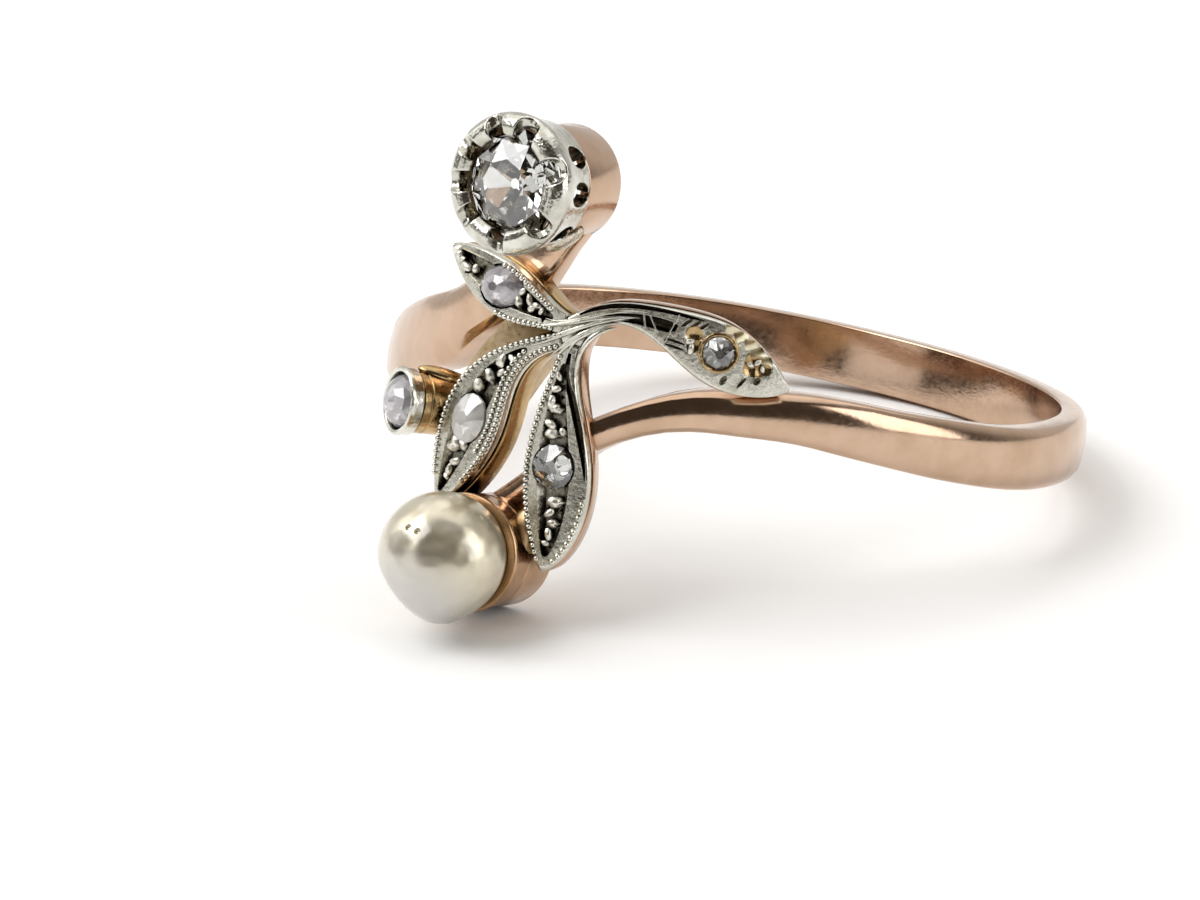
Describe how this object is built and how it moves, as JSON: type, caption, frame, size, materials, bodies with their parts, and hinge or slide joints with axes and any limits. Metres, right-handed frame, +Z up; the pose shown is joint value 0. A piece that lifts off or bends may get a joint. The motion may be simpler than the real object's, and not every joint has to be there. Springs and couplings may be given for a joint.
{
  "type": "pearl and diamond crossover ring",
  "caption": "Rose gold crossover finger ring with silver-set diamonds on leaves, a diamond in a claw crown and a pearl in a cup, lying on its side.",
  "frame": {"origin": "centre of the box of the ring as it lies, on the surface it rests on", "axes": "+Z up; -Y is the side of the head with the diamond and the pearl; the finger axis leans 14.6 degrees from +Z towards +Y and 2.9 degrees towards +X"},
  "size_m": [0.0188, 0.024, 0.0136],
  "materials": {
    "rose_gold": "polished rose gold, lightly worn",
    "silver": "old silver, polished on the ridges and dark in the hollows",
    "diamond": "faceted, clear",
    "pearl": "cream lustre"
  },
  "bodies": {
    "root": {"shank": "rose_gold", "leaf_spray": "silver", "claw_crown": "silver", "side_bezel": "silver", "main_diamond": "diamond", "pearl": "pearl", "leaf_diamond_1": "diamond", "leaf_diamond_2": "diamond", "leaf_diamond_3": "diamond", "leaf_diamond_4": "diamond", "side_diamond": "diamond"}
  },
  "joints": []
}
